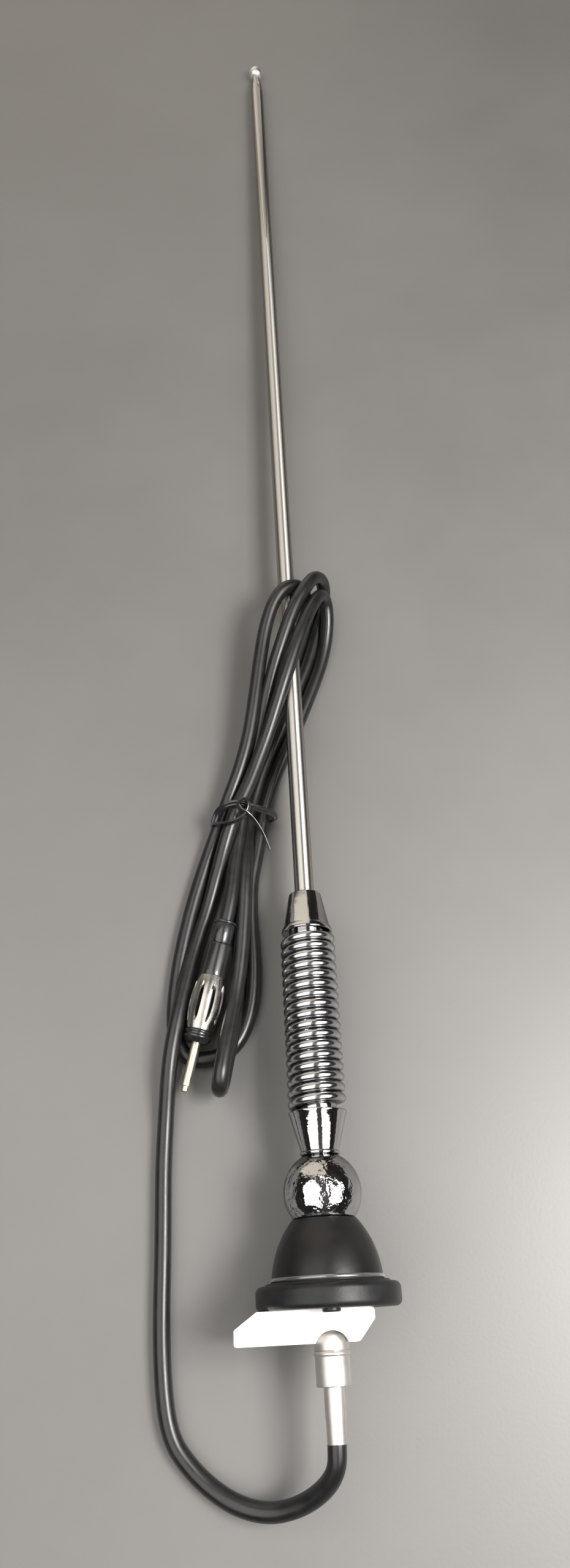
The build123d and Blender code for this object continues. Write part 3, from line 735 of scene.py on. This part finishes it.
# The spring: a closed coil of round chrome wire, wound right-handed, that lets the mast give way.
# Both ends of the wire lie on the underside.
spring_wire_radius = 1.375
spring_coil_radius = 7.125
spring_turns = 17
spring_rise = 51.625
steps_a_turn = 56
wire_sides = 18
deselect()
bpy.ops.mesh.primitive_circle_add(vertices=wire_sides, radius=spring_wire_radius * mm)
spring = bpy.context.object
spring.name = "mast_spring_coil"
bpy.ops.object.mode_set(mode="EDIT")
bpy.ops.mesh.select_all(action="SELECT")
bpy.ops.transform.rotate(value=math.pi / 2, orient_axis="Y", center_override=(0, 0, 0))
bpy.ops.transform.translate(value=(0, spring_coil_radius * mm, (spring_seat_z + spring_wire_radius) * mm))
bpy.ops.object.mode_set(mode="OBJECT")
winding = spring.modifiers.new("winding", "SCREW")
winding.axis = "Z"
winding.angle = spring_turns * 2 * math.pi
winding.screw_offset = spring_rise * mm
winding.steps = spring_turns * steps_a_turn
winding.render_steps = winding.steps
winding.use_smooth_shade = True
bpy.ops.object.modifier_apply(modifier=winding.name)
bpy.ops.object.mode_set(mode="EDIT")
bpy.ops.mesh.select_all(action="SELECT")
bpy.ops.mesh.fill_holes(sides=0)
bpy.ops.mesh.select_all(action="SELECT")
bpy.ops.mesh.normals_make_consistent(inside=False)
bpy.ops.object.mode_set(mode="OBJECT")
bpy.ops.object.shade_smooth_by_angle(angle=curve_smooth_angle)
lay(spring)
wear(spring, finish(
    "spring_chrome_wire", chrome_tones, 120, (0.14, 0.2), (900, 0.05, 0.0001),
    metal=1.0, Specular_Tint=chrome_edge,
))
fit(spring, "mast", "spring_chrome", "mast_spring")

# The upper ferrule: a chrome cone with a bright rolled shoulder on the spring and a flat cut top,
# bored for the mast tube.
spring_top_z = 105.475
upper_top_z = 118.475
upper_rim_radius = 8.0
upper_rim_edge = 0.3
shoulder = ((8.0, 0.4), (7.78, 1.2), (7.2, 2.2))
upper_top_radius = 5.0
cut_edge = 0.1
tube_hole = 3.14
upper_outline = [(tube_hole, spring_top_z - spigot_length), (spigot_radius, spring_top_z - spigot_length)]
upper_outline += [(spigot_radius, spring_top_z)]
upper_outline += arc(
    (upper_rim_radius - upper_rim_edge, spring_top_z + upper_rim_edge), upper_rim_edge, -90, 0, 5,
)
upper_outline += three_point_arc(*((r, spring_top_z + h) for r, h in shoulder), 6)
upper_outline += [(upper_top_radius + cut_edge, upper_top_z - 2 * cut_edge)]
upper_outline += [(upper_top_radius - cut_edge, upper_top_z)]
upper_outline += [(tube_hole, upper_top_z)]
upper_ferrule = lay(turned("upper_ferrule_chrome", upper_outline, 128))
wear(upper_ferrule, ferrule_chrome)
fit(upper_ferrule, "mast", "ferrule_chrome", "upper_ferrule")

# The telescopic mast: drawn brass tubes with bright chrome, pushed right in. The outer tube's mouth
# is crimped in, the middle tube stands out a little, and the tip rod carries a round button.
tube_foot_z = 106.475
tube_top_z = 569.475
tube_radius = 3.1
tube_bore = 2.6
mouth_length = 6.0
mouth_radius_out = 2.66
mouth_bore = 2.31
middle_foot_z = 112.475
middle_top_z = 576.875
middle_radius = 2.25
middle_bore = 1.8
middle_mouth_out = 1.81
middle_mouth_bore = 1.46
rod_foot_z = 118.475
rod_radius = 1.4
button_foot_z = 577.875
button_height = 6.4
button_radius = 3.2
button_edge = 2.4
mast_chrome = finish(
    "mast_drawn_chrome", ((0.62, 0.595, 0.555, 1), (0.7, 0.675, 0.635, 1)), 40, (0.36, 0.42),
    (500, 0.01, 0.0001), metal=1.0, stretch=(1, 0.06, 1), spun=True, Specular_Tint=chrome_edge,
    Anisotropic=0.95, Anisotropic_Rotation=0.25,
)


def mast_tube(radius, bore, mouth, mouth_hole, foot, top):
    """The outline of a tube whose upper end is drawn in over the next section."""
    outline = [(bore, foot), (radius, foot), (radius, top - mouth_length)]
    outline += [(radius - 0.1, top - 0.8 * mouth_length), (mouth + 0.08, top - 0.35 * mouth_length)]
    outline += [(mouth, top - 0.25 * mouth_length), (mouth, top - 0.15)]
    outline += [(mouth - 0.12, top), (mouth_hole, top)]
    return outline + [(mouth_hole, top - mouth_length / 2), (bore, top - mouth_length)]


outer_tube = mast_tube(tube_radius, tube_bore, mouth_radius_out, mouth_bore, tube_foot_z, tube_top_z)
middle_tube = mast_tube(
    middle_radius, middle_bore, middle_mouth_out, middle_mouth_bore, middle_foot_z, middle_top_z
)
rod_outline = [(rod_radius, rod_foot_z), (rod_radius, button_foot_z)]
button_middle = button_radius - button_edge
button_top_z = button_foot_z + button_height
button_outline = arc((button_middle, button_foot_z + button_edge), button_edge, -88, 0, 10)
button_outline += arc((button_middle, button_top_z - button_edge), button_edge, 0, 88, 10)
mast_pieces = (
    ("outer_mast_tube", outer_tube, True, "mast", "outer_tube"),
    ("middle_mast_tube", middle_tube, True, "middle_section", "middle_tube"),
    ("tip_rod_chrome", rod_outline, False, "tip_section", "tip_rod"),
    ("tip_button_chrome", button_outline, False, "tip_section", "tip_button"),
)
button_satin = finish(
    "button_satin_chrome", ((0.88, 0.86, 0.82, 1), (0.95, 0.93, 0.9, 1)), 300, (0.4, 0.5),
    (900, 0.05, 0.00005), metal=1.0,
)
for name, outline, closed, body, node in mast_pieces:
    piece = lay(turned(name, outline, 72, closed))
    wear(piece, button_satin if node == "tip_button" else mast_chrome)
    fit(piece, body, "mast_chrome", node)

# The tie: a glossy black two-rib plastic ribbon, wound round the six strands, twisted together on
# top and left with one long tail.
tie_gloss = finish(
    "tie_gloss_black", ((0.012, 0.012, 0.013, 1), (0.02, 0.02, 0.021, 1)), 500, (0.12, 0.22),
    (2500, 0.1, 0.00004), Specular_IOR_Level=0.7, Coat_Weight=0.4, Coat_Roughness=0.1,
)
ribbon_half_width = 1.25
ribbon_half_height = 0.6
ribbon_waist = 0.3
tie_route = (
    (-28.9, 148.4, 8.4),
    (-28.3, 150.2, 9.4),
    (-27.2, 151.8, 11.0),
    (-25.0, 152.6, 13.2),
    (-22.4, 152.9, 14.4),
    (-19.6, 152.6, 15.0),
    (-16.6, 151.5, 14.4),
    (-13.0, 151.6, 11.6),
    (-9.4, 151.6, 8.4),
    (-7.6, 151.4, 4.6),
    (-9.6, 151.0, 1.6),
    (-18.0, 150.6, 1.3),
    (-26.4, 150.0, 1.6),
    (-29.8, 149.2, 4.4),
    (-28.4, 148.0, 9.2),
    (-24.4, 146.0, 13.6),
    (-20.1, 146.4, 15.2),
    (-17.4, 148.6, 16.0),
    (-16.4, 151.7, 16.6),
    (-18.4, 154.0, 16.6),
    (-20.8, 152.2, 16.6),
    (-19.6, 149.2, 17.0),
    (-17.3, 147.9, 16.4),
    (-15.2, 146.1, 14.9),
    (-13.3, 143.5, 13.3),
    (-11.8, 140.9, 11.8),
    (-10.5, 137.2, 10.4),
)
tail_points = 5
tail_end_share = 0.25
ribbon = bpy.data.curves.new("ribbon_section", "CURVE")
section = ribbon.splines.new("POLY")
corners = 16
section.points.add(corners - 1)
for i, point in enumerate(section.points):
    angle = 2 * math.pi * i / corners
    side = abs(math.cos(angle))
    height = ribbon_waist + (ribbon_half_height - ribbon_waist) * min(1, 2 * side)
    point.co = (ribbon_half_width * math.cos(angle) * mm, height * math.sin(angle) * mm, 0, 1)
section.use_cyclic_u = True
ribbon_shape = bpy.data.objects.new("ribbon_section", ribbon)
bpy.context.scene.collection.objects.link(ribbon_shape)
tie = nurbs("tie_ribbon", tie_route)
tie.data.bevel_mode = "OBJECT"
tie.data.bevel_object = ribbon_shape
tie.data.use_fill_caps = True
for i in range(tail_points):
    tie.data.splines[0].points[-1 - i].radius = tail_end_share + (1 - tail_end_share) * i / tail_points
as_mesh(tie)
bpy.data.objects.remove(ribbon_shape)
wear(tie, tie_gloss)
fit(tie, "mast", "tie_plastic", "cable_tie")

# The aerial plug: a black strain collar and body, a sprung nickel barrel slit into leaves, a black
# insulating ring and a dull nickel pin.
plug_gloss = finish(
    "plug_gloss_black", ((0.012, 0.012, 0.013, 1), (0.022, 0.022, 0.023, 1)), 300, (0.18, 0.3),
    (1800, 0.1, 0.00005), Specular_IOR_Level=0.7, Coat_Weight=0.3, Coat_Roughness=0.15,
)
plug_nickel = finish(
    "plug_barrel_nickel", ((0.46, 0.44, 0.40, 1), (0.58, 0.56, 0.52, 1)), 220, (0.22, 0.34),
    (1500, 0.15, 0.00005), metal=1.0,
)
pin_nickel = finish(
    "pin_dull_nickel", ((0.58, 0.53, 0.42, 1), (0.70, 0.65, 0.54, 1)), 350, (0.28, 0.42),
    (1800, 0.2, 0.00005), metal=1.0,
)
plug_foot = Vector((-25.7, 113.2, floor_z + 8.4)) * mm
plug_along = Vector((-0.25447, -0.96661, -0.02929))
plug_side = Vector((0, 0, 1)).cross(plug_along).normalized()
plug_turn = Matrix((plug_side, plug_along.cross(plug_side), plug_along)).transposed()
plug_place = Matrix.Translation(plug_foot) @ plug_turn.to_4x4()
body_z = 7.8
barrel_z = 18.6
ring_z = 35.6
pin_z = 39.6
pin_step_z = 52.8
pin_end_z = 54.6
collar_hole = cable_diameter / 2 + 0.05
collar_radius = 3.4
collar_bead = 0.5
collar_end_z = body_z - 0.1
body_edge = 0.4
ring_core_radius = 3.3
ring_bead = 0.5
ring_front_bead = 0.6
pin_radius = 1.5
pin_tip_radius = 1.1
pin_tip_edge = 0.5
collar_outline = [(collar_hole, 0)] + arc((3.25, collar_bead), collar_bead, -90, 90, 8)
collar_outline += [(collar_radius, 1.3), (collar_radius, body_z - 0.7)]
collar_outline += [(3.05, collar_end_z), (collar_hole, collar_end_z)]
body_outline = [(3.0, body_z)] + arc((3.45, body_z + body_edge), body_edge, -90, 0, 4)
body_outline += [(4.0, barrel_z - 1.6), (4.05, barrel_z - 0.5), (3.85, barrel_z)]
ring_outline = [(ring_core_radius, barrel_z + 4.2), (ring_core_radius, ring_z + 0.1)]
ring_outline += arc((3.85, ring_z + 0.6), ring_bead, -90, 70, 7)
ring_outline += [(3.95, ring_z + 1.35)] + arc((3.75, ring_z + 2.2), ring_front_bead, -60, 60, 6)
ring_outline += [(3.5, pin_z - 0.5), (2.9, pin_z)]
pin_outline = [(pin_radius, ring_z + 0.5), (pin_radius, pin_step_z - 0.15)]
pin_outline += [(1.35, pin_step_z), (pin_tip_radius, pin_step_z)]
pin_outline += arc((pin_tip_radius - pin_tip_edge, pin_end_z - pin_tip_edge), pin_tip_edge, 0, 80, 4)
plug_turned = (
    ("plug_collar_black", collar_outline, True, "plug_plastic", plug_gloss, "plug_collar"),
    ("plug_body_black", body_outline, False, "plug_plastic", plug_gloss, "plug_body"),
    ("plug_ring_black", ring_outline, False, "plug_plastic", plug_gloss, "plug_ring"),
    ("plug_pin_nickel", pin_outline, False, "pin_nickel", pin_nickel, "plug_pin"),
)
barrel_mid_z = (barrel_z + ring_z) / 2
barrel_end = 4.1
bulge = 5.15
barrel_wall = 0.6
slot_count = 8
slot_half = (1.6, 0.95, 7.0)
barrel_outline = three_point_arc((barrel_end, barrel_z), (bulge, barrel_mid_z), (barrel_end, ring_z), 20)
inner_end = barrel_end - barrel_wall
inner_bulge = (bulge - barrel_wall, barrel_mid_z)
barrel_outline += three_point_arc((inner_end, ring_z), inner_bulge, (inner_end, barrel_z), 20)
plug_barrel = turned("plug_barrel_nickel", barrel_outline, 96)
for i in range(slot_count):
    deselect()
    bpy.ops.mesh.primitive_uv_sphere_add(segments=32, ring_count=24, radius=mm)
    cutter = bpy.context.object
    cutter.scale = slot_half
    angle = 2 * math.pi * (i + 0.5) / slot_count
    cutter.location = (bulge * math.cos(angle) * mm, bulge * math.sin(angle) * mm, barrel_mid_z * mm)
    cutter.rotation_euler = (0, 0, angle)
    bpy.ops.object.transform_apply(location=True, rotation=True, scale=True)
    cut = plug_barrel.modifiers.new("slot", "BOOLEAN")
    cut.operation = "DIFFERENCE"
    cut.object = cutter
    pick(plug_barrel)
    bpy.ops.object.modifier_apply(modifier=cut.name)
    bpy.data.objects.remove(cutter)
bpy.ops.object.shade_smooth_by_angle(angle=smooth_angle)
lay(plug_barrel, plug_place)
wear(plug_barrel, plug_nickel)
fit(plug_barrel, "mast", "plug_nickel", "plug_barrel")
for name, outline, closed, slot, material, node in plug_turned:
    piece = lay(turned(name, outline, 64, closed), plug_place)
    wear(piece, material)
    fit(piece, "mast", slot, node)

# The cable is fixed at the crimp. Here it stands for the CAD cable nodes, which are hidden, and its
# placement is baked into its mesh.
cable_nodes = ("cable_lead", "cable_hank", "cable_outer_loop", "cable_tail")
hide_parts(*cable_nodes)
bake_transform(cable)
